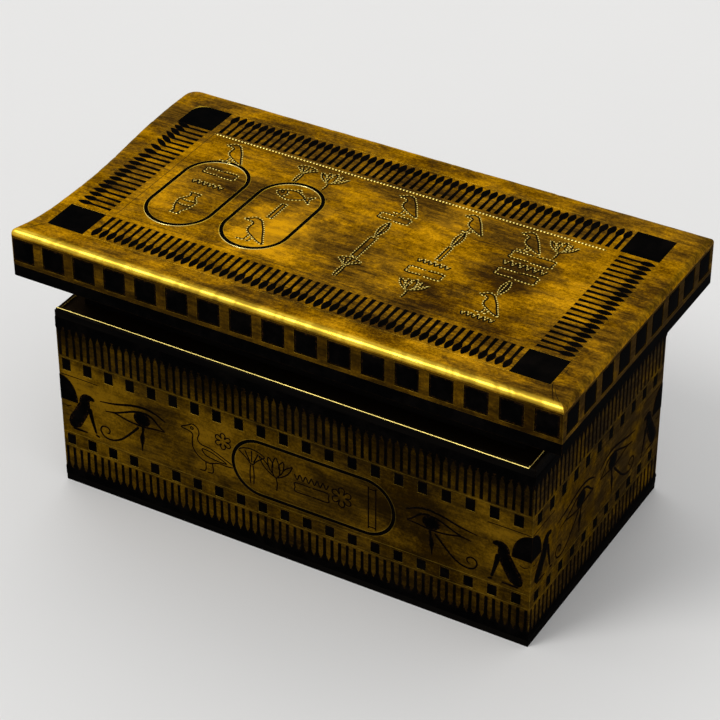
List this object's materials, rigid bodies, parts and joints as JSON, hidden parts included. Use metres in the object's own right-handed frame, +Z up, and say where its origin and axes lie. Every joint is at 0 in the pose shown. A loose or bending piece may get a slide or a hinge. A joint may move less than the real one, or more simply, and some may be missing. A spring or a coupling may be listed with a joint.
{
  "type": "gilded sarcophagus",
  "caption": "Rectangular gilded and black-inlaid sarcophagus: a plank chest with a recessed neck under a heavy overhanging lid that lifts off.",
  "frame": {"origin": "middle of the base, on the plane that the sarcophagus stands on", "axes": "+X along the length, -Y to the front face shown in the picture, +Z up"},
  "size_m": [2.5, 1.36, 1.265],
  "materials": {
    "gilt": "gold leaf over gesso on wood, burnished, worn and stained with brown patina",
    "aged_gilt": "gold leaf over gesso on thin wood, duller and darker than the lid's",
    "black_inlay": "black resin over wood, satin",
    "black_wood": "black resin-coated wood, dull",
    "cedar": "bare planed wood"
  },
  "bodies": {
    "chest": {"plinth_front": "black_wood", "plinth_right": "black_wood", "plinth_back": "black_wood", "plinth_left": "black_wood", "floor_batten_1": "cedar", "floor_batten_2": "cedar", "floor_batten_3": "cedar", "floor_board_1": "cedar", "floor_board_2": "cedar", "floor_board_3": "cedar", "corner_post_1": "black_wood", "corner_post_2": "black_wood", "corner_post_3": "black_wood", "corner_post_4": "black_wood", "wall_front": "black_wood", "wall_right": "black_wood", "wall_back": "black_wood", "wall_left": "black_wood", "gilt_frieze_front": "aged_gilt", "gilt_frieze_right": "aged_gilt", "gilt_frieze_back": "aged_gilt", "gilt_frieze_left": "aged_gilt", "ledge_rail_front": "black_wood", "ledge_rail_right": "black_wood", "ledge_rail_back": "black_wood", "ledge_rail_left": "black_wood", "neck_front": "black_wood", "neck_right": "black_wood", "neck_back": "black_wood", "neck_left": "black_wood"},
    "lid": {"lid_rail_front": "gilt", "lid_rail_right": "gilt", "lid_rail_back": "gilt", "lid_rail_left": "gilt", "black_fascia_front": "black_inlay", "black_fascia_right": "black_inlay", "black_fascia_back": "black_inlay", "black_fascia_left": "black_inlay", "gilt_band_front": "gilt", "gilt_band_right": "gilt", "gilt_band_back": "gilt", "gilt_band_left": "gilt", "lid_batten_1": "cedar", "lid_batten_2": "cedar", "lid_batten_3": "cedar", "lid_board_1": "cedar", "lid_board_2": "cedar", "lid_board_3": "cedar", "locating_cleat_front": "cedar", "locating_cleat_right": "cedar", "locating_cleat_back": "cedar", "locating_cleat_left": "cedar", "gilt_top_sheet": "gilt", "corner_tile_1": "black_inlay", "corner_tile_2": "black_inlay", "corner_tile_3": "black_inlay", "corner_tile_4": "black_inlay"}
  },
  "joints": [
    {"name": "lid_lift", "type": "slide", "parent": "chest", "child": "lid", "axis": [0, 0, 1], "range_m": [0, 0.35]}
  ]
}
